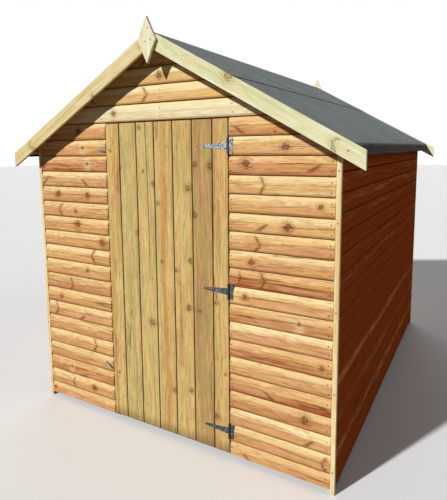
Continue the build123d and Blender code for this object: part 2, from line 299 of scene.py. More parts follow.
def knot_field(tree, along, height, off_pith, share, size, branches):
    """Knots: round ones with a broken dark rim, and branches cut lengthways, as one arm or a V of two.

    An arm leaves the pith aslant and fades out short of the board's edge. A board's knots sit on its pith
    line, from which off_pith is measured; otherwise they lie in a loose grid.
    Gives their brown heart, their dark marks, the stain round them, a pale patch and a push to the grain.
    """
    board = height if off_pith is None else read_attribute(tree, "log")
    middle_along, middle_across, (pick, girth, kind) = scatter(tree, along, board)
    off_along = calc(tree, "SUBTRACT", along, middle_along)
    off_across = calc(tree, "SUBTRACT", height, middle_across) if off_pith is None else off_pith
    rough_place = scaled(tree, (along, rough_cells), (height, rough_cells))
    ragged = around(tree, noise(tree, rough_place, 3.0, 0.65))
    patches = noise(tree, scaled(tree, (along, patch_cells), (height, patch_cells), (3.0,)), 2.0)
    present = calc(tree, "LESS_THAN", pick, share)
    branch = product(tree, calc(tree, "LESS_THAN", kind, branches), present)
    disc = total(tree, present, product(tree, branch, -1.0))

    # Round knots, whose radius goes up by one size from the least
    radius = calc(tree, "MULTIPLY_ADD", girth, size, size * least_knot)
    off = vector(tree, off_along, off_across)
    length = add_node(tree, "ShaderNodeVectorMath", {0: off}, operation="LENGTH").outputs["Value"]
    reach = total(tree, calc(tree, "DIVIDE", length, radius), product(tree, ragged, knot_raggedness))
    disc_heart = product(tree, fade(tree, reach, 1.05, 0.6), disc)
    disc_rim = product(tree, fade(tree, gap(tree, reach, 1.0), 0.4, 0.05), disc)
    disc_stain = product(tree, fade(tree, reach, 3.6, 0.7), disc)

    # Branches, which lean either way by their kind and widen from the pith
    out = calc(tree, "ABSOLUTE", off_across)
    below = calc(tree, "LESS_THAN", off_across, 0.0)
    lean = calc(tree, "GREATER_THAN", kind, branches / 2)
    lean = calc(tree, "MULTIPLY_ADD", lean, 2 * arm_lean, -arm_lean)
    lean = product(tree, lean, calc(tree, "MULTIPLY_ADD", girth, 1.4, 0.6))
    arm = total(tree, off_along, product(tree, out, lean, -1.0), product(tree, ragged, arm_raggedness))
    arm = calc(tree, "ABSOLUTE", arm)
    width = total(tree, product(tree, out, calc(tree, "MULTIPLY_ADD", girth, 0.2, 0.1)), size * 0.25)
    ratio = calc(tree, "DIVIDE", arm, width)
    other_arm = fade(tree, girth, 0.4, 0.6, 0.85, 0.0)
    strength = product(tree, branch, calc(tree, "MAXIMUM", below, other_arm),
                       fade(tree, out, arm_end, arm_full))
    arm_heart = product(tree, fade(tree, ratio, 1.4, 0.3), strength)
    arm_rim = product(tree, fade(tree, gap(tree, ratio, 1.0), 0.5, 0.0), strength)
    arm_stain = product(tree, fade(tree, arm, size * 2.6, size * 0.2), strength)

    heart = product(tree, total(tree, disc_heart, arm_heart), fade(tree, patches, 0.3, 0.6, 0.45, 1.0))
    marks = product(tree, total(tree, disc_rim, arm_rim), fade(tree, patches, 0.42, 0.55))
    stain = total(tree, disc_stain, product(tree, arm_stain, 0.7))
    pale_reach = total(tree, calc(tree, "ABSOLUTE", off_along), product(tree, ragged, pale_raggedness))
    pale = product(tree, fade(tree, pale_reach, pale_patch_end, pale_patch_full), disc,
                   calc(tree, "LESS_THAN", girth, pale_knot_share))
    push = product(tree, fade(tree, reach, 4.5, 0.3), disc, off_across, -0.85)
    return heart, marks, stain, pale, push


def ladder_of(tree, amount, shades):
    """Colour from a row of shades, each at its place between 0 and 1."""
    ladder = tree.nodes.new("ShaderNodeValToRGB")
    steps = ladder.color_ramp.elements
    while len(steps) < len(shades):
        steps.new(0.5)
    for step, (position, shade) in zip(steps, shades):
        step.position = position
        step.color = srgb(*shade)
    tree.links.new(amount, ladder.inputs["Fac"])
    return ladder.outputs["Color"]


def blushed(tree, colour, along, across, amount, blush):
    """Colour with clouds of other shades drawn out along the grain, each layer finer than the last."""
    for index, (shade, strength) in enumerate(blush):
        finer = 1.0 + index * 1.8
        place = scaled(tree, (along, 2.6 * finer), (across, 17.0 * finer), (7.0 + index * 5.0,))
        cloud = noise(tree, place, 3.0, 0.6)
        patch = product(tree, fade(tree, cloud, 0.44, 0.64), amount, strength)
        colour = tint(tree, patch, colour, srgb(*shade))
    return colour


def bleached_and_highlit(tree, colour, shade, across, tone, streaks, pale, pale_top_and_highlight):
    """Colour with a pale upper edge, pale flecks and a pale patch at some knots, less on darker boards."""
    broad, thin, fleck = streaks
    edge = total(tree, across, product(tree, around(tree, broad), 0.5),
                 product(tree, around(tree, thin), 0.5))
    # The pale top is part sapwood and part painted highlight, where the rounded face turns up to the light
    lit = product(tree, fade(tree, edge, 0.66, 0.76), pale_top_and_highlight, fade(tree, tone, 1.0, 0.2))
    flecks = product(tree, fade(tree, fleck, 0.52, 0.62), fade(tree, across, 0.35, 0.6), 0.6)
    amount = calc(tree, "MAXIMUM", lit, calc(tree, "MAXIMUM", flecks, product(tree, pale, 0.5)))
    amount = product(tree, amount, fade(tree, tone, 0.9, 0.7))
    return tint(tree, amount, colour, srgb(*shade))


def hearted(tree, colour, shade, deep, place, across, drift, thin):
    """Colour with the heart band and the split of the boards that carry them, and a darker foot on all."""
    height = split(tree, place)["Z"]
    wander = product(tree, around(tree, drift), 0.8)
    middle = gap(tree, total(tree, across, wander), 0.5)
    reach = fade(tree, height, *heart_heights, 0.17, 0.3)
    band = fade(tree, calc(tree, "DIVIDE", middle, reach), 1.0, 0.35)
    band = product(tree, band, fade(tree, thin, 0.2, 0.5), read_attribute(tree, "heart"))
    band = product(tree, band, fade(tree, height, *heart_heights, 0.62, 0.42))
    colour = tint(tree, band, colour, srgb(*shade))
    crack = gap(tree, total(tree, across, product(tree, wander, 0.6)), 0.48)
    crack = product(tree, fade(tree, crack, 0.03, 0.012), fade(tree, height, *split_heights))
    colour = tint(tree, product(tree, crack, read_attribute(tree, "split"), 0.85), colour, deep)
    return tint(tree, fade(tree, height, *foot_heights, 0.0, 0.45), colour, deep)


def wood(name, shades, dark, turn=None, cover=0.0, knot_share=0.5, knot_size=0.007, branches=0.3,
         streak=0.5, line_depth=0.5, ring_depth=0.25, streaks_across=26.0, seam_stain_and_painted_shade=0.0,
         edge_width=0.04, pale_top_and_highlight=0.0, pith=0.0, blush=(), heart_shade=None, knot_depth=0.85,
         margin_shadow_depth=0.4, seam_shade=(138, 88, 38)):
    """Softwood with streaks, growth rings, fibres and knots along the first axis of its grain.

    Boards made here carry their grain, tone and place across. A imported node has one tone, and its grain is
    turned to X instead.
    """
    material, tree, shader = new_material(name)
    place = object_place(tree)
    if turn is None:
        grain = read_attribute(tree, "grain", "Vector")
        tone = read_attribute(tree, "tone")
        across = read_attribute(tree, "across")
    else:
        grain = add_node(tree, "ShaderNodeMapping", {"Vector": place, "Rotation": turn}).outputs["Vector"]
        tone = timber_tone
        across = 0.5

    def from_pale(on_pale, on_common=1.0):
        """Value that goes from one on the palest boards to another on the common ones."""
        return fade(tree, tone, pale_tone, common_tone, on_pale, on_common)

    def to_shaded(in_light, in_shade):
        """Value that is another on the right wall, whose boards are drawn in painted shade."""
        return fade(tree, tone, shaded_tone, deepest_tone, in_light, in_shade)

    axes = split(tree, grain)
    along, depth, height = axes["X"], axes["Y"], axes["Z"]
    off_pith = None
    if pith:
        sway = noise(tree, scaled(tree, (along, 2.2), (read_attribute(tree, "log"),)), 1.0)
        off_pith = product(tree, total(tree, across, product(tree, sway, -0.5), -0.25), cover)
    knots_here = from_pale(knot_share * 0.5, knot_share)
    knots = knot_field(tree, along, height, off_pith, knots_here, knot_size, branches)
    heart, marks, stain, pale, push = knots
    drift = noise(tree, scaled(tree, (along, 1.3), (height, 5.0), (depth,)), 1.0)
    bent = total(tree, height, push, product(tree, drift, grain_drift))

    def along_grain(per_metre, share, detail=3.0):
        """Noise stretched along the grain, so many cells a metre across it and a share of that along it."""
        cells = scaled(tree, (along, per_metre * share), (bent, per_metre), (depth, per_metre))
        return noise(tree, cells, detail, 0.6, 0.2)

    broad = along_grain(streaks_across, 0.035)
    thin = along_grain(streaks_across * 4.5, 0.02)
    fleck = along_grain(streaks_across * 2.4, 0.16)
    fibre = along_grain(fibre_cells, 0.03)
    waves = calc(tree, "SINE", product(tree, bent, ring_cells))
    late = product(tree, fade(tree, waves, 0.1, 1.0), fade(tree, broad, 0.3, 0.6))
    breaks = noise(tree, scaled(tree, (along, 6.0), (height, 40.0)), 2.0)
    line = contour(tree, along_grain(line_cells, 0.03, 1.0), 0.01)
    line = product(tree, line, fade(tree, breaks, 0.42, 0.58))
    hair = contour(tree, along_grain(hair_cells, 0.02, 1.0), 0.03)
    hair = product(tree, hair, fade(tree, fleck, 0.65, 0.4))
    fret = product(tree, fade(tree, along_grain(fret_cells, 0.22), 0.5, 0.64), fade(tree, fleck, 0.38, 0.56))

    # Colour of the streaks, calmer on the palest boards and on the darkest, the right wall's in painted shade
    swing = total(tree, product(tree, around(tree, broad), 3.0), product(tree, around(tree, thin), 3.0),
                  product(tree, around(tree, fleck), 2.4))
    calm = product(tree, fade(tree, tone, 0.7, 0.9, streak, streak * 0.45), from_pale(0.45))
    amount = total(tree, tone, product(tree, swing, calm))
    if pith:
        side = fade(tree, off_pith, pith_band, -pith_band, -0.5, 0.5)
        amount = total(tree, amount, product(tree, side, pith))
        pith_line = fade(tree, calc(tree, "ABSOLUTE", off_pith), pith_line_width, pith_line_core)
        line = total(tree, line, product(tree, pith_line, fade(tree, breaks, 0.36, 0.5), 0.8))
    colour = ladder_of(tree, amount, shades)
    warm, deep = (srgb(*shade) for shade in dark)
    blushing = product(tree, from_pale(0.25), fade(tree, tone, deepest_tone, 0.94))
    colour = blushed(tree, colour, along, bent, blushing, blush)
    # Pale top of each board, part sapwood and part painted highlight, with pale flecks and knot patches
    if pale_top_and_highlight:
        colour = bleached_and_highlit(tree, colour, shades[1][1], across, tone, (broad, thin, fleck), pale, pale_top_and_highlight)
    if heart_shade:
        colour = hearted(tree, colour, heart_shade, deep, place, across, drift, thin)

    # Rings, fibres, lines and knots over it
    figure = from_pale(0.4)
    colour = tint(tree, product(tree, late, ring_depth), colour, warm)
    colour = tint(tree, product(tree, fade(tree, fibre, 0.45, 0.7), 0.3), colour, warm, "MULTIPLY")
    layers = (
        (warm, total(tree, hair, fret), figure, line_depth * 0.42),
        (warm, stain, 0.45),
        (deep, line, figure, line_depth * 0.8),
        (warm, heart, knot_depth),
        (deep, marks, 0.95),
    )
    colour = layered(tree, colour, layers)
    # Seams: a dark band at each joint and on the board ends, part stain and part painted shade, wider and
    # darker on the right wall
    if seam_stain_and_painted_shade:
        seam_reach = to_shaded(edge_width, edge_width * shaded_seam_widening)
        low_seam = fade(tree, across, seam_reach, product(tree, seam_reach, 0.45))
        high_seam = fade(tree, across, 1.0 - edge_width * 0.8, 1.0 - edge_width * 0.35)
        seam = calc(tree, "MAXIMUM", low_seam, high_seam)
        # A warmer, darker band where across is low, along each board's lower edge (on the door, one side):
        # painted shade
        margin = fade(tree, across, edge_width * margin_shadow_share, edge_width)
        colour = tint(tree, product(tree, margin, margin_shadow_depth), colour, warm)
        seam = calc(tree, "MAXIMUM", seam, product(tree, read_attribute(tree, "end"), 0.9))
        seam_colour = tint(tree, to_shaded(0.0, 1.0), srgb(*seam_shade), srgb(*shade_wall_seam))
        colour = tint(tree, product(tree, seam, seam_stain_and_painted_shade), colour, seam_colour)
    roughness = calc(tree, "MULTIPLY_ADD", fibre, 0.2, 0.65)
    relief = total(tree, product(tree, fibre, 0.6), product(tree, late, -0.4), product(tree, line, -0.6),
                   product(tree, marks, -0.8))
    finish_shader(tree, shader, colour, roughness, relief, wood_relief)
    shader.inputs["Specular IOR Level"].default_value = 0.0
    return material


dipped_shades = (
    (0.00, (255, 247, 208)),
    (0.12, (255, 232, 170)),
    (0.23, (248, 209, 138)),
    (0.50, (235, 185, 117)),
    (0.76, (218, 159, 101)),
    # The darkest, red-brown step serves the right wall's boards, drawn in painted shade
    (1.00, (170, 76, 30)),
)
dipped_dark = ((144, 80, 42), (80, 42, 22))
dipped_blush = (((240, 178, 136), 0.6), ((208, 140, 92), 0.38))
dipped_boarding = wood("dipped boarding", dipped_shades, dipped_dark, cover=course_cover, knot_share=0.88,
                       knot_size=0.0105, branches=0.6, streak=0.27, line_depth=0.7, seam_stain_and_painted_shade=0.95,
                       edge_width=0.036, pale_top_and_highlight=0.8, pith=0.22, blush=dipped_blush)

door_shades = (
    (0.10, (200, 184, 114)),
    (0.29, (215, 199, 128)),
    (0.42, (231, 211, 140)),
    (0.56, (236, 204, 132)),
    (0.74, (229, 184, 108)),
    (1.00, (180, 146, 100)),
)
door_dark = ((150, 110, 60), (66, 44, 22))
door_blush = (((176, 178, 100), 0.4), ((218, 162, 128), 0.45))
door_boarding = wood("door boarding", door_shades, door_dark, knot_share=0.75, knot_size=0.009, branches=0.1,
                     streak=0.4, line_depth=0.7, streaks_across=32.0, seam_stain_and_painted_shade=1.0, edge_width=0.04,
                     blush=door_blush, heart_shade=(206, 128, 62), knot_depth=0.45, margin_shadow_depth=0.2,
                     seam_shade=(72, 46, 24))

trim_shades = (
    (0.15, (252, 251, 220)),
    (0.50, (245, 242, 202)),
    (0.85, (230, 225, 172)),
)
cream_shades = (
    (0.15, (248, 232, 188)),
    (0.50, (240, 214, 160)),
    (0.85, (222, 190, 130)),
)
finial_shades = (
    (0.15, (254, 252, 228)),
    (0.50, (252, 244, 214)),
    (0.85, (242, 228, 184)),
)
trim_dark = ((176, 160, 92), (104, 80, 40))
strip_shades = (
    (0.2, (254, 236, 184)),
    (0.5, (250, 224, 164)),
    (0.8, (236, 202, 140)),
)
frame_shades = (
    (0.2, (236, 206, 156)),
    (0.5, (222, 184, 130)),
    (0.8, (202, 158, 104)),
)
frame_dark = ((164, 108, 60), (100, 60, 30))
sheet_shades = (
    (0.2, (214, 176, 122)),
    (0.5, (196, 152, 98)),
    (0.8, (170, 122, 74)),
)
level = (0.0, 0.0, 0.0)
upright = (0.0, quarter_turn, 0.0)
front_to_back = (0.0, 0.0, quarter_turn)
trim_knots = {"knot_share": 0.85, "knot_size": 0.016, "line_depth": 0.4, "streak": 0.4}
green_blush = (((214, 226, 160), 0.5), ((250, 236, 192), 0.6))
cream_blush = (((246, 214, 162), 0.4), ((226, 226, 170), 0.5))
trim_right = wood("treated trim down to the right", trim_shades, trim_dark, (0, -roof_pitch, 0),
                  blush=green_blush, **trim_knots)
trim_left = wood("treated trim down to the left", cream_shades, trim_dark, (0, roof_pitch, 0),
                 blush=cream_blush, **trim_knots)
trim_upright = wood("treated trim upright", finial_shades, trim_dark, upright, knot_share=0.1,
                    knot_size=0.005, line_depth=0.2, blush=cream_blush)
pale_strip = wood("pale strip", strip_shades, frame_dark, upright, 0.15, 0.003, line_depth=0.15)
frame_upright = wood("frame timber upright", frame_shades, frame_dark, upright, 0.5, 0.006)
frame_level = wood("frame timber level", frame_shades, frame_dark, level, 0.5, 0.006)
frame_deep = wood("frame timber front to back", frame_shades, frame_dark, front_to_back, 0.5, 0.006)
sheet_boards = wood("sheet boards", sheet_shades, frame_dark, front_to_back, 0.3, 0.008, streak=0.7)


# Felt and metals

granule_cells = 620.0
spangle_cells = 150.0
felt_cloud_cells = 5.0
felt_patch_cells = 60.0
zinc_cloud_cells = 90.0
nail_cloud_cells = 400.0
hem_shadow_heights = (0.004, 0.012)
fresh_above = (1.2, 1.4)
fresh_left_of = (0.1, 0.0)
pin_shadow_reach = (0.0105, 0.006)
coarse_relief = 0.0006
nail_relief = 0.0002


def mineral_felt():
    """Bitumen felt with a face of fine slate-grey mineral granules, its hem darkened as painted shade."""
    material, tree, shader = new_material("mineral felt")
    place = object_place(tree)
    cells = add_node(tree, "ShaderNodeTexVoronoi", {"Vector": place, "Scale": granule_cells})
    light, dark, rough = drawn(tree, cells)
    cloud = noise(tree, place, 4.0, scale=felt_cloud_cells)
    patch = noise(tree, place, 3.0, scale=felt_patch_cells)
    colour = tint(tree, fade(tree, cloud, 0.35, 0.65), srgb(114, 122, 121), srgb(129, 135, 132))
    height = total(tree, split(tree, place)["Z"], product(tree, around(tree, patch), 0.03),
                   product(tree, around(tree, cloud), 0.02))
    # The hem, below the bend, darkened to brown: painted shade
    hem_shadow = fade(tree, height, *(hem_corner - drop for drop in hem_shadow_heights))
    layers = (
        (srgb(152, 160, 163), fade(tree, light, 0.55, 1.0), 0.55),
        (srgb(66, 72, 76), fade(tree, dark, 0.6, 1.0), 0.6),
        (srgb(88, 96, 100), fade(tree, patch, 0.5, 0.75), 0.35),
        (srgb(58, 46, 40), hem_shadow, 0.9),
    )
    colour = layered(tree, colour, layers)
    roughness = calc(tree, "MULTIPLY_ADD", rough, 0.15, 0.8)
    relief = calc(tree, "SUBTRACT", 1.0, cells.outputs["Distance"])
    finish_shader(tree, shader, colour, roughness, relief, coarse_relief)
    shader.inputs["Specular IOR Level"].default_value = 0.08
    return material


def galvanised():
    """Zinc-plated steel with a mottled spangle, fresh on the top hinge and the buttons and dull elsewhere."""
    material, tree, shader = new_material("galvanised steel")
    place = object_place(tree)
    feeds = {"Vector": place, "Scale": spangle_cells, "Randomness": 1.0}
    spangle = add_node(tree, "ShaderNodeTexVoronoi", feeds)
    shade, rough, raised = drawn(tree, spangle)
    cloud = noise(tree, place, 3.0, scale=zinc_cloud_cells)
    fresh = tint(tree, shade, srgb(190, 196, 196), srgb(122, 130, 134))
    dull = tint(tree, fade(tree, shade, 0.7, 1.0), srgb(84, 86, 88), srgb(150, 152, 152))
    axes = split(tree, place)
    freshness = calc(tree, "MAXIMUM", fade(tree, axes["Z"], *fresh_above),
                     fade(tree, axes["X"], *fresh_left_of))
    colour = tint(tree, freshness, dull, fresh)
    colour = tint(tree, product(tree, fade(tree, cloud, 0.48, 0.62), 0.8), colour, srgb(58, 64, 70))
    # Darker beside the hinge pin: painted shade of the knuckles
    off_pin = gap(tree, axes["X"], hinge_pin_x)
    colour = tint(tree, product(tree, fade(tree, off_pin, *pin_shadow_reach), 0.75), colour, srgb(50, 52, 60))
    roughness = calc(tree, "MULTIPLY_ADD", rough, 0.25, 0.3)
    finish_shader(tree, shader, colour, roughness, product(tree, cloud, raised), coarse_relief)
    shader.inputs["Metallic"].default_value = 0.7
    return material


def nail_steel():
    """Nail heads of steel, a mottled dark brown-grey."""
    material, tree, shader = new_material("nail steel")
    cloud = noise(tree, object_place(tree), 3.0, scale=nail_cloud_cells)
    colour = tint(tree, fade(tree, cloud, 0.35, 0.65), srgb(84, 56, 38), srgb(50, 36, 28))
    roughness = calc(tree, "MULTIPLY_ADD", cloud, 0.3, 0.4)
    finish_shader(tree, shader, colour, roughness, cloud, nail_relief)
    shader.inputs["Metallic"].default_value = 0.4
    return material


felt_finish = mineral_felt()
zinc = galvanised()
nail_finish = nail_steel()


# Geometry node helpers

def new_tree(name, sizes):
    """Geometry node tree with named inputs; gives the tree, its inputs and its output node."""
    tree = bpy.data.node_groups.new(name, "GeometryNodeTree")
    tree.is_modifier = True
    tree.interface.new_socket(name="Geometry", in_out="INPUT", socket_type="NodeSocketGeometry")
    for size, kind in sizes.items():
        tree.interface.new_socket(name=size, in_out="INPUT", socket_type="NodeSocket" + kind)
    tree.interface.new_socket(name="Geometry", in_out="OUTPUT", socket_type="NodeSocketGeometry")
    inputs = tree.nodes.new("NodeGroupInput").outputs
    output = tree.nodes.new("NodeGroupOutput").inputs["Geometry"]
    return tree, inputs, output


def grow(tree, host, name, values):
    """Run a tree on a host object and keep the result as one plain mesh object."""
    modifier = host.modifiers.new("grow", "NODES")
    modifier.node_group = tree
    for socket in tree.interface.items_tree:
        if socket.in_out == "INPUT" and socket.name in values:
            modifier[socket.identifier] = values[socket.name]
    depsgraph = bpy.context.evaluated_depsgraph_get()
    grown = host.evaluated_get(depsgraph)
    mesh = bpy.data.meshes.new_from_object(grown, preserve_all_data_layers=True, depsgraph=depsgraph)
    host.modifiers.clear()
    bpy.data.objects.remove(host)
    mesh.name = name
    return new_object(name, mesh)


def host_of_points(name, places, numbers=None, vectors=None):
    """Object of loose points, with a number or a vector kept on each under its own name."""
    mesh = bpy.data.meshes.new(name)
    mesh.from_pydata([tuple(place) for place in places], [], [])
    for key, values in (numbers or {}).items():
        mesh.attributes.new(key, "FLOAT", "POINT").data.foreach_set("value", values)
    for key, values in (vectors or {}).items():
        flat = [level for value in values for level in value]
        mesh.attributes.new(key, "FLOAT_VECTOR", "POINT").data.foreach_set("vector", flat)
    return new_object(name, mesh)


def outline_object(name, points):
    """Closed outline kept as loose edges, for a tree to sweep."""
    mesh = bpy.data.meshes.new(name)
    count = len(points)
    edges = [(index, (index + 1) % count) for index in range(count)]
    mesh.from_pydata([(x, y, 0.0) for x, y in points], edges, [])
    return new_object(name, mesh)


def grow_section(tree, host, name, points, values):
    """Run a tree that sweeps a section; the outline drawn for it is then removed."""
    section = outline_object(name + " section", points)
    piece = grow(tree, host, name, {"Section": section, **values})
    bpy.data.objects.remove(section)
    return piece


def named(tree, name, kind="FLOAT"):
    """Value kept on the geometry under a name."""
    made = add_node(tree, "GeometryNodeInputNamedAttribute", {"Name": name}, data_type=kind)
    return made.outputs["Attribute"]


def shape(tree, kind, feeds, **settings):
    """Geometry that a geometry node gives."""
    return add_node(tree, "GeometryNode" + kind, feeds, **settings).outputs[0]


def keep(tree, geometry, name, value, kind="FLOAT"):
    """Keep a value on the geometry under a name."""
    feeds = {"Geometry": geometry, "Name": name, "Value": value}
    return shape(tree, "StoreNamedAttribute", feeds, data_type=kind, domain="POINT")


def soften(tree, geometry, angle):
    """Smooth shading that stays sharp at edges above an angle."""
    smooth = shape(tree, "SetShadeSmooth", {"Geometry": geometry, "Shade Smooth": True})
    turn = add_node(tree, "GeometryNodeInputMeshEdgeAngle").outputs["Unsigned Angle"]
    sharp = add_node(tree, "FunctionNodeCompare", {0: turn, 1: angle}, data_type="FLOAT",
                     operation="GREATER_THAN").outputs["Result"]
    feeds = {"Geometry": smooth, "Selection": sharp, "Shade Smooth": False}
    return shape(tree, "SetShadeSmooth", feeds, domain="EDGE")


def point_place(tree):
    """Place of each point of the geometry."""
    return add_node(tree, "GeometryNodeInputPosition").outputs["Position"]


def realized(tree, geometry):
    """Geometry whose instances are made real."""
    return shape(tree, "RealizeInstances", {"Geometry": geometry})


def swept(tree, inputs, line):
    """The tree's section swept along a straight line in as many steps as it has stations, its ends filled."""
    section = add_node(tree, "GeometryNodeObjectInfo", {"Object": inputs["Section"]}).outputs["Geometry"]
    profile = shape(tree, "MeshToCurve", {"Mesh": section})
    line = shape(tree, "ResampleCurve", {"Curve": line, "Count": inputs["Stations"]})
    line = shape(tree, "SetCurveNormal", {"Curve": line}, mode="Z_UP")
    return shape(tree, "CurveToMesh", {"Curve": line, "Profile Curve": profile, "Fill Caps": True})


def close_tree(tree, geometry, finish, output):
    """End a tree in real meshes that carry their finish."""
    feeds = {"Geometry": realized(tree, geometry), "Material": finish}
    tree.links.new(shape(tree, "SetMaterial", feeds), output)


end_zone = 0.004
end_face = 0.0002
weld_gap = 0.0001
log_spread = 30.0
board_sharp_edge = math.radians(32)
board_wave_cells = (1.7, 0.0, 3.0)


def boarding_tree():
    """Boards laid one above the other on points, cut to their ends, the roof slopes and the top of the wall.

    Each point is the foot of a board on the wall's frame. The section is drawn outwards in X and down in Y,
    its Y in shares of the cover.
    """
    sizes = {
        "Section": "Object", "Cover": "Float", "Stations": "Int", "Lowest": "Float", "Highest": "Float",
        "Ridge": "Float", "Eaves line": "Float", "Slope": "Float", "Waviness": "Float", "Seed": "Int",
        "Turn": "Rotation", "Finish": "Material",
    }
    tree, inputs, output = new_tree("laid boards", sizes)
    board = swept(tree, inputs, shape(tree, "CurvePrimitiveLine", {"End": (1.0, 0.0, 0.0)}))

    # One board on each point, every one from another part of the log
    feeds = {
        "Min": (-log_spread, 0.0, -log_spread), "Max": (log_spread, 0.0, log_spread),
        "Seed": inputs["Seed"],
    }
    draw = add_node(tree, "FunctionNodeRandomValue", feeds, data_type="FLOAT_VECTOR").outputs["Value"]
    feet = keep(tree, inputs["Geometry"], "log", draw, "FLOAT_VECTOR")
    feet = keep(tree, feet, "foot", split(tree, point_place(tree))["Z"])
    size = vector(tree, 1.0, 1.0, inputs["Cover"])
    laid = shape(tree, "InstanceOnPoints", {"Points": feet, "Instance": board, "Scale": size})
    boards = realized(tree, laid)

    # Cut to length: X runs from 0 to 1 along the board until here
    place = point_place(tree)
    axes = split(tree, place)
    from_middle = around(tree, axes["X"])
    to_end = calc(tree, "SUBTRACT", 0.5, calc(tree, "ABSOLUTE", from_middle))
    boards = keep(tree, boards, "end", fade(tree, to_end, end_face, 0.0))
    roof = total(tree, inputs["Eaves line"], product(tree, axes["Y"], inputs["Slope"]))
    high = calc(tree, "MINIMUM", calc(tree, "MINIMUM", axes["Z"], inputs["Highest"]), roof)
    high = calc(tree, "MAXIMUM", high, inputs["Lowest"])
    gable = calc(tree, "DIVIDE", calc(tree, "SUBTRACT", inputs["Ridge"], high), inputs["Slope"])
    start = calc(tree, "MAXIMUM", named(tree, "left"), product(tree, gable, -1.0))
    end = calc(tree, "MINIMUM", named(tree, "right"), gable)
    length = calc(tree, "SUBTRACT", end, start)
    step = calc(tree, "DIVIDE", 1.5, inputs["Stations"])
    near_end = product(tree, calc(tree, "LESS_THAN", to_end, step),
                       calc(tree, "GREATER_THAN", to_end, end_face))
    reach = product(tree, calc(tree, "SIGN", from_middle), calc(tree, "MULTIPLY_ADD", length, 0.5, -end_zone))
    feeds = {0: near_end, 2: product(tree, from_middle, length), 3: reach}
    spread = add_node(tree, "ShaderNodeMix", feeds, data_type="FLOAT").outputs[0]
    middle = calc(tree, "MULTIPLY_ADD", total(tree, start, end), 0.5, spread)
    moved = vector(tree, middle, axes["Y"], high)
    boards = shape(tree, "SetPosition", {"Geometry": boards, "Position": moved})
    boards = shape(tree, "MergeByDistance", {"Geometry": boards, "Distance": weld_gap}, mode="CONNECTED")

    # What the wood's finish reads, then the slight waviness of sawn boards
    log = vector_calc(tree, "ADD", place, named(tree, "log", "FLOAT_VECTOR"))
    boards = keep(tree, boards, "grain", log, "FLOAT_VECTOR")
    rise = calc(tree, "DIVIDE", calc(tree, "SUBTRACT", axes["Z"], named(tree, "foot")), inputs["Cover"])
    boards = keep(tree, boards, "across", rise)
    wave = noise(tree, vector_calc(tree, "MULTIPLY", log, board_wave_cells), 1.0, colour=True)
    wave = vector_calc(tree, "SUBTRACT", wave, (0.5, 0.5, 0.5))
    shift = vector_calc(tree, "MULTIPLY", wave, vector(tree, 0.0, inputs["Waviness"], inputs["Waviness"]))
    boards = shape(tree, "SetPosition", {"Geometry": boards, "Offset": shift})

    boards = soften(tree, boards, board_sharp_edge)
    turned = shape(tree, "Transform", {"Geometry": boards, "Rotation": inputs["Turn"]})
    close_tree(tree, turned, inputs["Finish"], output)
    return tree


laid_boards = boarding_tree()


# Log-lap boarding

lap_foot = 0.015
lap_head = 0.0085
tongue_depth = 0.0078
tongue_rise = 0.07
rebate_depth = 0.0088
rebate_rise = 0.08
crest_low = 0.16
crest_high = 0.56
crest_fullness = 0.8
station_gap = 0.1
wall_waviness = 0.0016
uncut = {"Ridge": out_of_the_way, "Eaves line": out_of_the_way, "Slope": slope}


def face_out(rise):
    """How far the rounded face of a board stands out at a share of its cover."""
    if rise < crest_low:
        return lap_foot + (boarding_thickness - lap_foot) * math.sin(rise / crest_low * quarter_turn)
    if rise < crest_high:
        return boarding_thickness
    share = min(1.0, (rise - crest_high) / (1.0 - crest_high))
    return lap_head + (boarding_thickness - lap_head) * math.cos(share * quarter_turn) ** crest_fullness


def log_lap_section():
    """Rounded face of one board, its rebate over the board below and its tongue behind the one above."""
    rises = [crest_low * step / 4 for step in range(5)]
    rises += [(crest_low + crest_high) / 2]
    rises += [crest_high + (1.0 - crest_high) * step / 6 for step in range(7)]
    face = [(rise, face_out(rise)) for rise in rises]
    back = [(1.0, tongue_depth), (1.0 + tongue_rise, tongue_depth), (1.0 + tongue_rise, 0.0)]
    back += [(rebate_rise, 0.0), (rebate_rise, rebate_depth), (0.0, rebate_depth)]
    return [(out, -rise) for rise, out in reversed(face + back)]


def courses_between(joint, low, high):
    """Numbers of the courses that show between two heights, counted up from a joint."""
    slack = 0.001
    first = math.floor((low - joint) / course_cover + slack)
    last = math.ceil((high - joint) / course_cover - slack)
    return range(first, last)


def lay_boarding(name, ends, joint, heights, wall, turn, seed, tones, cut):
    """One wall's log-lap boards between two ends and two heights, on a frame at a distance from the middle.

    Two tones are limits between which each board draws its own; cut names the roof line that ends the boards.
    """
    left, right = ends
    low, high = heights
    feet = [(0.0, -wall, joint + course * course_cover) for course in courses_between(joint, low, high)]
    count = len(feet)
    if len(tones) == 2:
        draw = random.Random(seed)
        tones = [draw.uniform(*tones) for _ in feet]
    numbers = {"left": [left] * count, "right": [right] * count, "tone": tones[:count]}
    host = host_of_points(name + " feet", feet, numbers)
    values = {
        **uncut, "Cover": course_cover, "Stations": max(3, round((right - left) / station_gap)),
        "Lowest": low, "Highest": high, "Waviness": wall_waviness, "Seed": seed,
        "Turn": (0.0, 0.0, turn), "Finish": dipped_boarding, cut: ridge_under,
    }
    return grow_section(laid_boards, host, name, log_lap_section(), values)


tone_words = {
    "cream": -0.05, "butter": 0.2, "straw": 0.28, "pale": 0.34, "gold": 0.44, "tan": 0.5, "amber": 0.6,
    "rose": 0.68,
}
right_words = (
    "amber pale rose straw gold straw tan gold rose pale "
    "amber straw rose gold rose amber pale gold amber"
)
left_words = (
    "gold tan rose straw gold tan tan gold pale gold "
    "amber tan gold amber gold tan rose tan amber"
)
gable_words = "cream butter butter straw straw"
back_tones = (0.25, 0.68)
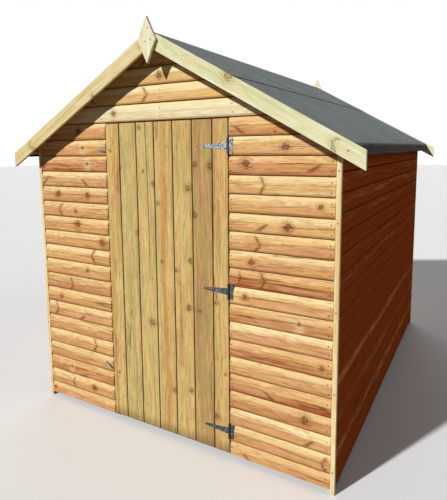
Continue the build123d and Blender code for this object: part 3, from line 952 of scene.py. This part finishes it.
# The right wall's boards take darker, redder tones as painted shade; the left wall's sit a little darker than
# the back's, partway towards them
shaded_tones = (1.04, 1.3)
left_wall_tones = (0.45, 0.8)


def tones_of(words, downwards=True):
    """Numbers, from the foot up, for the tones that words name from the top down or from the foot up."""
    tones = [tone_words[word] for word in words.split()]
    return tones[::-1] if downwards else tones


front_frame = -left_panel_high.y
side_frame = side_high.x - boarding_thickness
left_ends = (left_panel_low.x, left_panel_high.x)
right_ends = (right_panel_low.x, right_panel_high.x)
side_ends = (-side_reach, side_reach)
below_head = (board_bottom, door_head)
full_height = (board_bottom, ridge_under)

# Piece, node, ends, joint, heights, frame, turn, seed, tones and the roof line that cuts it
walls = (
    ("boarding_front_left", "front_cladding_left", left_ends, door_head, below_head, front_frame,
     0.0, 11, tones_of(left_words), "Ridge"),
    ("boarding_front_right", "front_cladding_right", right_ends, door_head, below_head, front_frame,
     0.0, 12, tones_of(right_words), "Ridge"),
    ("boarding_front_gable", "front_cladding_gable", (-half_width, half_width), door_head,
     (door_head, ridge_under), front_frame, 0.0, 13, tones_of(gable_words, downwards=False), "Ridge"),
    ("boarding_back", "back_cladding", (-strip_inner, strip_inner), door_head, full_height, front_frame,
     math.pi, 14, back_tones, "Ridge"),
    ("boarding_right", "right_cladding", side_ends, side_joint, full_height, side_frame,
     quarter_turn, 15, shaded_tones, "Eaves line"),
    ("boarding_left", "left_cladding", side_ends, side_joint, full_height, side_frame,
     -quarter_turn, 16, left_wall_tones, "Eaves line"),
)
for name, node, *place in walls:
    wall = lay_boarding(name, *place)
    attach(wall, "shed")
    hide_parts(node)


# Door boards, tongued together with a V at each joint

door_v_width = 0.0038 / door_cover
door_v_depth = 0.0032
door_thickness = door_high.y - door_low.y
door_tongue = 0.005 / door_cover
door_groove = 0.006 / door_cover
door_words = "honey olive straw heart sage brown honey"
door_tones = {"olive": 0.29, "straw": 0.42, "sage": 0.55, "heart": 0.55, "honey": 0.63, "brown": 0.93}
door_count = len(door_words.split())
door_joints = [door_joint_place + (board - (door_count - 2) / 2) * door_cover for board in range(door_count)]
faint_heart = 0.12
door_waviness = 0.0008
door_tongue_low = 0.0055
door_tongue_high = 0.0085
door_groove_low = 0.005
door_groove_high = 0.009


def door_section():
    """Board with eased V edges, a tongue on its upper edge and a groove for one on its lower edge."""
    front = door_thickness
    face = [(0.0, front - door_v_depth), (door_v_width, front), (1.0 - door_v_width, front)]
    face += [(1.0, front - door_v_depth)]
    tongue = [(1.0, door_tongue_high), (1.0 + door_tongue, door_tongue_high)]
    tongue += [(1.0 + door_tongue, door_tongue_low), (1.0, door_tongue_low)]
    back = [(1.0, door_v_depth), (1.0 - door_v_width, 0.0), (door_v_width, 0.0), (0.0, door_v_depth)]
    groove = [(0.0, door_groove_low), (door_groove, door_groove_low)]
    groove += [(door_groove, door_groove_high), (0.0, door_groove_high)]
    return [(out, -rise) for rise, out in reversed(face + tongue + back + groove)]


def hang_door_boards():
    """Seven upright boards, the outer two ripped down to the door's edges."""
    words = door_words.split()
    feet = [(0.0, door_high.y, -joint) for joint in door_joints]
    numbers = {
        "left": [door_low.z] * door_count, "right": [door_high.z] * door_count,
        "tone": [door_tones[word] for word in words],
        "heart": [1.0 if word == "heart" else faint_heart for word in words],
        "split": [1.0 if word == "straw" else 0.0 for word in words],
    }
    host = host_of_points("door board feet", feet, numbers)
    values = {
        **uncut, "Cover": door_cover, "Stations": 14, "Lowest": -door_high.x, "Highest": -door_low.x,
        "Waviness": door_waviness, "Seed": 4, "Turn": (0.0, -quarter_turn, 0.0), "Finish": door_boarding,
    }
    return grow_section(laid_boards, host, "door_boarding", door_section(), values)


door = hang_door_boards()
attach(door, "door")
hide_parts("door_boards")


# Roof felt

felt_thickness = 0.003
felt_bend = 0.008
cap_edge_lift = 0.0004
cap_thickness = 0.0022
ridge_round = 0.004
felt_sharp_edge = math.radians(40)
felt_waves = 0.0022
hem_flutter = 0.012
swell_cells = (2.4, 3.1)
ripple_cells = 7.0
droop_cells = 3.2
ridge_steps = (-0.02, -0.008, 0.008, 0.02)


def felt_tree():
    """A felt sheet swept from front to back, slightly uneven, its hem fluttering between two heights."""
    sizes = {
        "Section": "Object", "Reach": "Float", "Stations": "Int", "Waves": "Float", "Flutter": "Float",
        "Hem top": "Float", "Hem bottom": "Float", "Finish": "Material",
    }
    tree, inputs, output = new_tree("felt sheet", sizes)
    start = vector(tree, 0.0, product(tree, inputs["Reach"], -1.0))
    feeds = {"Start": start, "End": vector(tree, 0.0, inputs["Reach"])}
    felt = swept(tree, inputs, shape(tree, "CurvePrimitiveLine", feeds))
    axes = split(tree, point_place(tree))
    across, along = swell_cells
    swell = around(tree, noise(tree, scaled(tree, (axes["X"], across), (axes["Y"], along)), 2.0))
    hem = fade(tree, axes["Z"], inputs["Hem top"], inputs["Hem bottom"])
    ripple = around(tree, noise(tree, scaled(tree, (3.0,), (axes["Y"], ripple_cells)), 2.0))
    droop = around(tree, noise(tree, scaled(tree, (9.0,), (axes["Y"], droop_cells)), 2.0))
    out = product(tree, hem, ripple, inputs["Flutter"], calc(tree, "SIGN", axes["X"]))
    lift = total(tree, product(tree, swell, inputs["Waves"]), product(tree, hem, droop, inputs["Flutter"]))
    felt = shape(tree, "SetPosition", {"Geometry": felt, "Offset": vector(tree, out, 0.0, lift)})
    close_tree(tree, soften(tree, felt, felt_sharp_edge), inputs["Finish"], output)
    return tree


felt_sheet = felt_tree()


def felt_section(side):
    """Slope felt from the ridge to its hem, turned down over the eaves in a small bend."""
    top = felt_high.z
    edge = felt_high.x
    hem_low = felt_low.z
    hem_middle = (hem_corner + hem_low) / 2
    start = edge - felt_bend * math.cos(roof_pitch)
    start_height = top - start * slope
    bend_end = hem_corner - felt_bend
    outer = [(start * step / 12, top - start * step / 12 * slope) for step in range(13)]
    for step in (1, 2, 3):
        share = step / 4
        x = (1 - share) ** 2 * start + 2 * share * (1 - share) * edge + share ** 2 * edge
        z = (1 - share) ** 2 * start_height + 2 * share * (1 - share) * hem_corner + share ** 2 * bend_end
        outer.append((x, z))
    outer += [(edge, bend_end), (edge, hem_middle), (edge, hem_low)]
    inner_edge = edge - felt_thickness
    inner_top = top - felt_thickness / math.cos(roof_pitch)
    inner = [(inner_edge, hem_low), (inner_edge, hem_middle), (inner_edge, inner_top - inner_edge * slope)]
    inner += [(0.0, inner_top)]
    points = [(side * x, -z) for x, z in outer + inner]
    return points if side > 0 else points[::-1]


def cap_section():
    """Strip of felt over the ridge, its two edges standing a little off the sheets below."""
    reach = cap_high.x
    top = cap_high.z
    places = sorted([reach * step / 10 for step in range(-10, 11)] + list(ridge_steps))
    upper = []
    lower = []
    for x in places:
        lift = cap_edge_lift * max(0.0, abs(x) / reach * 4 - 3)
        line = top - slope * math.hypot(x, ridge_round) + lift
        upper.append((x, -line))
        lower.append((x, -line + cap_thickness))
    return upper + lower[::-1]


def lay_felt(name, section_points, node, flutter):
    """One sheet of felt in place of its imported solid."""
    host = host_of_points(name + " start", [(0.0, 0.0, 0.0)])
    values = {
        "Reach": felt_high.y, "Stations": 65, "Waves": felt_waves, "Flutter": flutter,
        "Hem top": hem_corner + felt_bend, "Hem bottom": felt_low.z, "Finish": felt_finish,
    }
    piece = grow_section(felt_sheet, host, name, section_points, values)
    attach(piece, "shed")
    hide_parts(node)


lay_felt("felt_sheet_right", felt_section(1), "felt_right", hem_flutter)
lay_felt("felt_sheet_left", felt_section(-1), "felt_left", hem_flutter)
lay_felt("felt_ridge_strip", cap_section(), "felt_ridge_cap", 0.0)


# Nails and screws

recess_length = 1.1
recess_width = 0.22
head_tilt = 0.12
head_sharp_edge = math.radians(50)
full_turn = 6.28
least_recess = 0.0001


def head_tree():
    """Low domed heads on points, each facing the way its point says, with an optional cross recess."""
    sizes = {"Radius": "Float", "Height": "Float", "Recess": "Float", "Seed": "Int", "Finish": "Material"}
    tree, inputs, output = new_tree("driven heads", sizes)
    dome = shape(tree, "MeshUVSphere", {"Segments": 10, "Rings": 6, "Radius": inputs["Radius"]})
    flat = calc(tree, "DIVIDE", inputs["Height"], inputs["Radius"])
    head = shape(tree, "Transform", {"Geometry": dome, "Scale": vector(tree, 1.0, 1.0, flat)})
    carve = add_node(tree, "GeometryNodeMeshBoolean", {"Mesh 1": head}, operation="DIFFERENCE")
    long_side = product(tree, inputs["Radius"], recess_length)
    short_side = product(tree, inputs["Radius"], recess_width)
    for sides in ((long_side, short_side), (short_side, long_side)):
        size = vector(tree, *sides, inputs["Recess"])
        bar = shape(tree, "MeshCube", {"Size": size})
        lift = vector(tree, 0.0, 0.0, inputs["Height"])
        bar = shape(tree, "Transform", {"Geometry": bar, "Translation": lift})
        tree.links.new(bar, carve.inputs["Mesh 2"])
    crossed = calc(tree, "GREATER_THAN", inputs["Recess"], least_recess)
    feeds = {"Switch": crossed, "False": head, "True": carve.outputs["Mesh"]}
    head = add_node(tree, "GeometryNodeSwitch", feeds, input_type="GEOMETRY").outputs["Output"]

    # Each head turned to its face, spun by chance and a little askew
    feeds = {"Vector": named(tree, "facing", "FLOAT_VECTOR")}
    turn = add_node(tree, "FunctionNodeAlignRotationToVector", feeds, axis="Z").outputs["Rotation"]
    feeds = {
        "Min": (-head_tilt, -head_tilt, 0.0), "Max": (head_tilt, head_tilt, full_turn),
        "Seed": inputs["Seed"],
    }
    spin = add_node(tree, "FunctionNodeRandomValue", feeds, data_type="FLOAT_VECTOR").outputs["Value"]
    spin = add_node(tree, "FunctionNodeEulerToRotation", {"Euler": spin}).outputs["Rotation"]
    feeds = {"Rotation": turn, "Rotate By": spin}
    turn = add_node(tree, "FunctionNodeRotateRotation", feeds, rotation_space="LOCAL").outputs["Rotation"]
    feeds = {"Points": inputs["Geometry"], "Instance": head, "Rotation": turn}
    driven = realized(tree, shape(tree, "InstanceOnPoints", feeds))
    close_tree(tree, soften(tree, driven, head_sharp_edge), inputs["Finish"], output)
    return tree


driven_heads = head_tree()

# Radius and height of each kind of head, and the depth of its cross recess
wall_nail = (0.0033, 0.0007, 0.0)
door_nail = (0.003, 0.0005, 0.0)
trim_nail = (0.0036, 0.0007, 0.0)
clout = (0.0042, 0.0011, 0.0)
screw = (0.0038, 0.0017, 0.002)

# Where nails go in a board, and how near they come to its ends
nail_rises = (0.25, 0.68)
nail_inset = 0.017
jamb_nail_reach = 0.0245
nail_wander = 0.003
nail_above_foot = 0.008
nail_below_head = 0.012
nail_under_roof = 0.02


def drive(name, places, body, head, finish, seed):
    """Heads of one kind at places, each a point and the way it faces."""
    radius, height, recess = head
    host = host_of_points(name + " places", [point for point, _ in places], None,
                          {"facing": [facing for _, facing in places]})
    values = {"Radius": radius, "Height": height, "Recess": recess, "Seed": seed, "Finish": finish}
    piece = grow(driven_heads, host, name, values)
    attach(piece, body)


def wall_nails(across, joint, low, high, wall, turn, seed):
    """Two nails through every board at each of the wall's places, kept under the roof slope."""
    draw = random.Random(seed)
    rotation = Matrix.Rotation(turn, 3, "Z")
    facing = rotation @ Vector((0, -1, 0))
    places = []
    for course in courses_between(joint, low, high):
        for rise in nail_rises:
            height = joint + (course + rise) * course_cover + draw.uniform(-nail_wander, nail_wander)
            if not low + nail_above_foot < height < high - nail_below_head:
                continue
            reach = (ridge_under - height) / slope - nail_under_roof
            for place in across:
                shift = place + draw.uniform(-nail_wander, nail_wander)
                if abs(shift) > reach and abs(turn) != quarter_turn:
                    continue
                point = rotation @ Vector((shift, -wall - face_out(rise), height))
                places.append((point, facing))
    return places


gable_places = (door_low.x - jamb_nail_reach, 0.0, door_high.x + jamb_nail_reach)
front_places = (
    left_panel_low.x + nail_inset,
    left_panel_high.x - nail_inset * 0.6,
    right_panel_low.x + nail_inset * 0.7,
    right_panel_high.x - nail_inset,
)
stud_width = 0.038
side_stud_gap = (2 * (front_frame - stud_width) - stud_width) / 4
side_studs = tuple(-front_frame + 1.5 * stud_width + side_stud_gap * index for index in range(5))
back_stud_gap = (2 * side_frame - stud_width) / 3
back_studs = tuple(-side_frame + stud_width / 2 + back_stud_gap * index for index in range(4))
side_top = ridge_under - slope * side_frame
nails = wall_nails(front_places, door_head, board_bottom, door_head, front_frame, 0.0, 31)
nails += wall_nails(gable_places, door_head, door_head, ridge_under, front_frame, 0.0, 32)
nails += wall_nails(back_studs, door_head, board_bottom, ridge_under, front_frame, math.pi, 33)
nails += wall_nails(side_studs, side_joint, board_bottom, side_top, side_frame, quarter_turn, 34)
nails += wall_nails(side_studs, side_joint, board_bottom, side_top, side_frame, -quarter_turn, 35)
drive("boarding_nails", nails, "shed", wall_nail, nail_finish, 5)

toward_viewer = Vector((0.0, -1.0, 0.0))
door_nail_inset = 0.01
door_nail_shares = (0.25, 0.75)


def door_nails():
    """Two nails through each door board into each ledge."""
    draw = random.Random(41)
    places = []
    for joint in door_joints:
        for height in hinge_heights:
            for share in door_nail_shares:
                x = joint - door_cover * share + draw.uniform(-nail_wander, nail_wander)
                z = height + draw.uniform(-nail_wander, nail_wander)
                if door_low.x + door_nail_inset < x < door_high.x - door_nail_inset:
                    places.append((Vector((x, door_low.y, z)), toward_viewer))
    return places


drive("door_nails", door_nails(), "door", door_nail, nail_finish, 6)

hinge_knuckle_radius = 0.0045
hinge_leaf = 0.002
strap_hole_places = (0.028, 0.062, 0.096, 0.132)
plate_hole_place = 0.0144
plate_hole_reach = 0.028


def hinge_screws(holes):
    """Screws at each hinge, at holes given as distances from its pin along X and up."""
    pin_x = strap_high.x - hinge_knuckle_radius
    face = door_low.y - hinge_leaf
    return [(Vector((pin_x + x, face, height + up)), toward_viewer)
            for height in hinge_heights for x, up in holes]


strap_screws = hinge_screws([(-place, 0.0) for place in strap_hole_places])
plate_screws = hinge_screws([(plate_hole_place, side * plate_hole_reach) for side in (-1, 1)])
drive("hinge_strap_screws", strap_screws, "door", screw, zinc, 7)
drive("hinge_plate_screws", plate_screws, "shed", screw, zinc, 8)

bargeboard_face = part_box("bargeboard_back_left")[1].y
bargeboard_nail = (0.96, 1.543)
strip_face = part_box("corner_strip_back_left")[1].y
strip_nail_heights = (0.11, 0.48, 0.85, 1.24, 1.46)
finial_nails = ((-0.010, -0.008), (0.023, -0.003), (0.013, 0.053))


def trim_nails():
    """Nails in the finials, at the bargeboards' feet and down the corner strips."""
    finial_middle = (finial_low.z + finial_high.z) / 2
    strip_x = (strip_inner + half_width) / 2
    nail_x, nail_z = bargeboard_nail
    places = []
    for facing in (-1, 1):
        outwards = Vector((0.0, facing, 0.0))
        for x, rise in finial_nails:
            places.append((Vector((facing * -x, facing * -finial_low.y, finial_middle + rise)), outwards))
        for x in (-nail_x, nail_x):
            places.append((Vector((x, facing * bargeboard_face, nail_z)), outwards))
    for facing in (-1, 1):
        for side in (-1, 1):
            for height in strip_nail_heights:
                point = Vector((side * strip_x, facing * strip_face, height))
                places.append((point, Vector((0.0, facing, 0.0))))
    return places


drive("trim_nails", trim_nails(), "shed", trim_nail, nail_finish, 9)

clout_gap = 0.19
clout_inset = 0.014
clout_end = 0.05
clout_wander = 0.02
seam_wander = 0.0004
hem_wander = 0.006


def felt_nails():
    """Broad-headed nails along the seams and hems of the felt."""
    draw = random.Random(51)
    reach = felt_high.y - clout_end
    count = round(2 * reach / clout_gap)
    seam_x = cap_high.x - clout_inset
    seam_z = cap_high.z - seam_x * slope
    places = []
    for side in (-1, 1):
        slope_facing = Vector((side * math.sin(roof_pitch), 0.0, math.cos(roof_pitch)))
        for index in range(count + 1):
            y = -reach + 2 * reach * index / count + draw.uniform(-clout_wander, clout_wander)
            seam = Vector((side * seam_x, y, seam_z + draw.uniform(-seam_wander, seam_wander)))
            places.append((seam, slope_facing))
            hem_z = felt_low.z + clout_inset + draw.uniform(0.0, hem_wander)
            if index < count:
                hem = Vector((side * felt_high.x, y + clout_gap / 2, hem_z))
                places.append((hem, Vector((side, 0.0, 0.0))))
    return places


drive("felt_nails", felt_nails(), "shed", clout, nail_finish, 10)


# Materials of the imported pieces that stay

timber_bevel = 0.0012
metal_bevel = 0.0003
weld_distance = 0.00005


def dress(prefix, material, bevel):
    """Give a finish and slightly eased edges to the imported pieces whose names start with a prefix."""
    for name, node in cad.items():
        if not name.startswith(prefix):
            continue
        node.data.materials.clear()
        node.data.materials.append(material)
        if bevel:
            weld = node.modifiers.new("join", "WELD")
            weld.merge_threshold = weld_distance
            ease = node.modifiers.new("ease", "BEVEL")
            ease.width = bevel
            ease.segments = 2
            ease.limit_method = "ANGLE"
            ease.angle_limit = math.radians(35)


packed_finishes = {
    "corner_strip": pale_strip,
    "bargeboard_front_left": trim_left,
    "bargeboard_back_left": trim_left,
    "bargeboard_front_right": trim_right,
    "bargeboard_back_right": trim_right,
    "finial": trim_upright,
    "eaves_batten": frame_deep,
    "roof_purlins": frame_deep,
    "floor_bearers": frame_deep,
    "front_gable_frame": frame_level,
    "back_gable_frame": frame_level,
    "front_wall_studs": frame_upright,
    "front_wall_rails": frame_level,
    "back_wall_studs": frame_upright,
    "back_wall_rails": frame_level,
    "left_wall_studs": frame_upright,
    "right_wall_studs": frame_upright,
    "left_wall_rails": frame_deep,
    "right_wall_rails": frame_deep,
    "door_ledges": frame_level,
    "door_braces": frame_upright,
}
for prefix, finish in packed_finishes.items():
    dress(prefix, finish, timber_bevel)
for prefix in ("roof_boards", "floor_boards"):
    dress(prefix, sheet_boards, 0.0)
for prefix in ("hinge", "turn_button"):
    dress(prefix, zinc, metal_bevel)


# Studio: floor, lamps and camera

fill_level = 0.045
floor_reach = 40.0
floor_under_light = srgb(82, 78, 74)
floor_seen = srgb(236, 236, 236)

# Name, strength, softness in degrees and the way the light travels
lamps = (
    ("key", 3.7, 2.5, (0.45, 1.0, -0.75)),
    ("rear fill", 0.9, 60.0, (0.45, -1.0, -0.5)),
    ("side fill", 0.66, 60.0, (-1.0, -0.25, -0.3)),
)


def studio():
    """Pale floor, white background, one soft key lamp from the front left and an even fill."""
    mesh = bpy.data.meshes.new("studio floor")
    corners = [(x * floor_reach, y * floor_reach, 0) for x, y in ((-1, -1), (1, -1), (1, 1), (-1, 1))]
    mesh.from_pydata(corners, [], [(0, 1, 2, 3)])
    floor = new_object("studio_floor", mesh)
    material, tree, shader = new_material("studio floor")
    colour = tint(tree, seen_rays(tree), floor_under_light, floor_seen)
    tree.links.new(colour, shader.inputs["Base Color"])
    shader.inputs["Roughness"].default_value = 0.9
    mesh.materials.append(material)

    for name, energy, spread, travel in lamps:
        sun = bpy.data.lights.new(name, "SUN")
        sun.energy = energy
        sun.angle = math.radians(spread)
        lamp = new_object(name, sun)
        lamp.rotation_euler = Vector(travel).to_track_quat("-Z", "Y").to_euler()

    world = bpy.data.worlds.new("studio")
    bpy.context.scene.world = world
    world.use_nodes = True
    sky = world.node_tree
    sky.nodes.clear()
    fill = calc(sky, "MULTIPLY_ADD", seen_rays(sky), 1.0 - fill_level, fill_level)
    glow = add_node(sky, "ShaderNodeBackground", {"Color": (1.0, 1.0, 1.0, 1.0), "Strength": fill})
    add_node(sky, "ShaderNodeOutputWorld", {"Surface": glow.outputs["Background"]})


def place_camera():
    """Camera at the photograph's viewpoint, found from the shed's corners, courses and roof lines.

    The focal length and the middle of the view are in pixels of the picture.
    """
    standpoint = (1.428, -3.1763, 1.5574)
    yaw = math.radians(30.7924)
    pitch = math.radians(-7.0295)
    roll = math.radians(-0.6876)
    focal_pixels = 471.44
    middle_seen = (205.92, 206.97)
    picture = (447, 500)
    forward = Vector((-math.sin(yaw) * math.cos(pitch), math.cos(yaw) * math.cos(pitch), math.sin(pitch)))
    right = Vector((math.cos(yaw), math.sin(yaw), 0.0))
    up = right.cross(forward)
    turned_right = right * math.cos(roll) + up * math.sin(roll)
    turned_up = up * math.cos(roll) - right * math.sin(roll)
    data = bpy.data.cameras.new("camera")
    data.sensor_width = 36.0
    data.lens = focal_pixels / picture[1] * data.sensor_width
    data.shift_x = (picture[0] / 2 - middle_seen[0]) / picture[1]
    data.shift_y = (middle_seen[1] - picture[1] / 2) / picture[1]
    data.clip_end = 200.0
    camera = new_object("camera", data)
    turn = Matrix((turned_right, turned_up, -forward)).transposed()
    camera.matrix_world = Matrix.Translation(standpoint) @ turn.to_4x4()
    bpy.context.scene.camera = camera


studio()
place_camera()
bpy.context.scene.view_settings.view_transform = "Standard"
